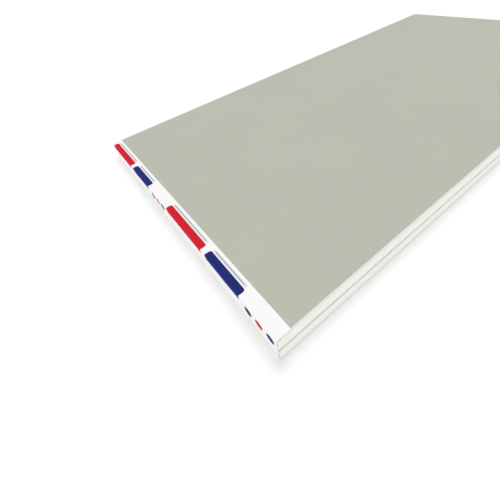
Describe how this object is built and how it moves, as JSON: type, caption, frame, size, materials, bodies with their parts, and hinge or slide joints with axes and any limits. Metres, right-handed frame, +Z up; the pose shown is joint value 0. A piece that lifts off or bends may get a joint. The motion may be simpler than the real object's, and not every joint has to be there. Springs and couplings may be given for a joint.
{
  "type": "drywall sheet",
  "caption": "Flat gypsum boards with tapered long edges, laid face to face with grey paper backs outwards and bound at one end by a folded printed paper tape.",
  "frame": {"origin": "under the middle of the pair, on the surface that it lies on", "axes": "+X along the boards from the taped end to the bare end, +Y across them, +Z up through their thickness"},
  "size_m": [1.2002, 0.6, 0.038],
  "materials": {
    "back_paper": "matte grey recycled paper with faint mottling",
    "face_paper": "matte ivory face paper, wrapped round the long edges",
    "tape_paper": "smooth white paper tape with a plain navy and red print",
    "gypsum_core": "chalky off-white gypsum, rough where it is cut"
  },
  "bodies": {
    "root": {"upper_board": "back_paper", "lower_board": "face_paper", "end_tape": "tape_paper"}
  },
  "joints": []
}
